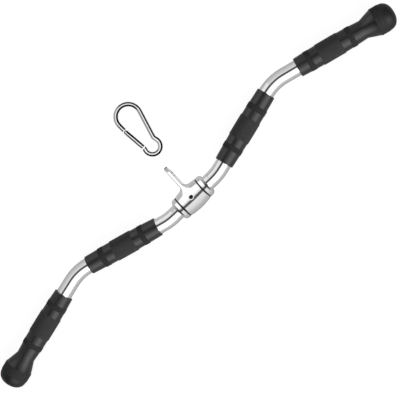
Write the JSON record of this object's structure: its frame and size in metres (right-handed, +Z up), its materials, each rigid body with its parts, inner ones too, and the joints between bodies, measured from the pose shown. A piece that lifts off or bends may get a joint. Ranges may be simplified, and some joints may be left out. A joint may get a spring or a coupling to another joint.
{
  "type": "lat pulldown bar",
  "caption": "Curved lat pulldown bar of chromed tube with rubber grips and knob ends, a revolving hub whose lug takes a cable, and a loose sprung snap hook.",
  "frame": {"origin": "centre of the box of the whole set, at the surface that it lies on", "axes": "+X along the bar, +Y across it towards the lug and the snap hook, +Z up from the surface"},
  "size_m": [0.9296, 0.2328, 0.0505],
  "materials": {
    "chrome": "polished chrome plate on steel",
    "grip_rubber": "moulded matt black rubber",
    "plug_plastic": "moulded",
    "black_steel": "black oxide",
    "black_nylon": "matt",
    "white_nylon": "smooth",
    "spring_steel": "drawn wire"
  },
  "bodies": {
    "bar": {"bar_tube": "chrome", "inner_left_grip": "grip_rubber", "inner_right_grip": "grip_rubber", "outer_left_grip": "grip_rubber", "outer_right_grip": "grip_rubber", "left_tube_plug": "plug_plastic", "right_tube_plug": "plug_plastic", "left_collar": "chrome", "right_collar": "chrome", "left_collar_screw": "black_steel", "right_collar_screw": "black_steel", "left_thrust_washer": "black_nylon", "right_thrust_washer": "black_nylon"},
    "swivel": {"swivel_hub": "chrome", "left_bushing": "white_nylon", "right_bushing": "white_nylon", "hub_set_screw": "black_steel"},
    "snap_hook": {"snap_hook_body": "chrome", "gate_rivet": "chrome"},
    "gate": {"snap_hook_gate": "chrome", "latch_pin": "chrome", "gate_spring": "spring_steel"},
    "plunger": {"spring_plunger": "spring_steel"}
  },
  "joints": [
    {"name": "hub_swivel", "type": "hinge", "parent": "bar", "child": "swivel", "pos_m": [0, -0.08604, 0.02451], "axis": [1, 0, 0], "continuous": true},
    {"name": "snap_hook_lift", "type": "slide", "parent": "bar", "child": "snap_hook", "axis": [0, 0, 1], "range_m": [0, 0.3]},
    {"name": "gate_hinge", "type": "hinge", "parent": "snap_hook", "child": "gate", "pos_m": [-0.0067, 0.07416, 0.004], "axis": [0, 0, 1], "range_deg": [0, 25], "stiffness_Nm_per_rad": 0.05, "springref_deg": -22.92},
    {"name": "plunger_slide", "type": "slide", "parent": "gate", "child": "plunger", "axis": [0.086, -0.9963, 0], "range_m": [0, 0.001], "deforming": ["gate_spring"]}
  ],
  "couplings": [
    {"joint": "plunger_slide", "follows": "gate_hinge", "m_per_rad": 0.0020627}
  ]
}
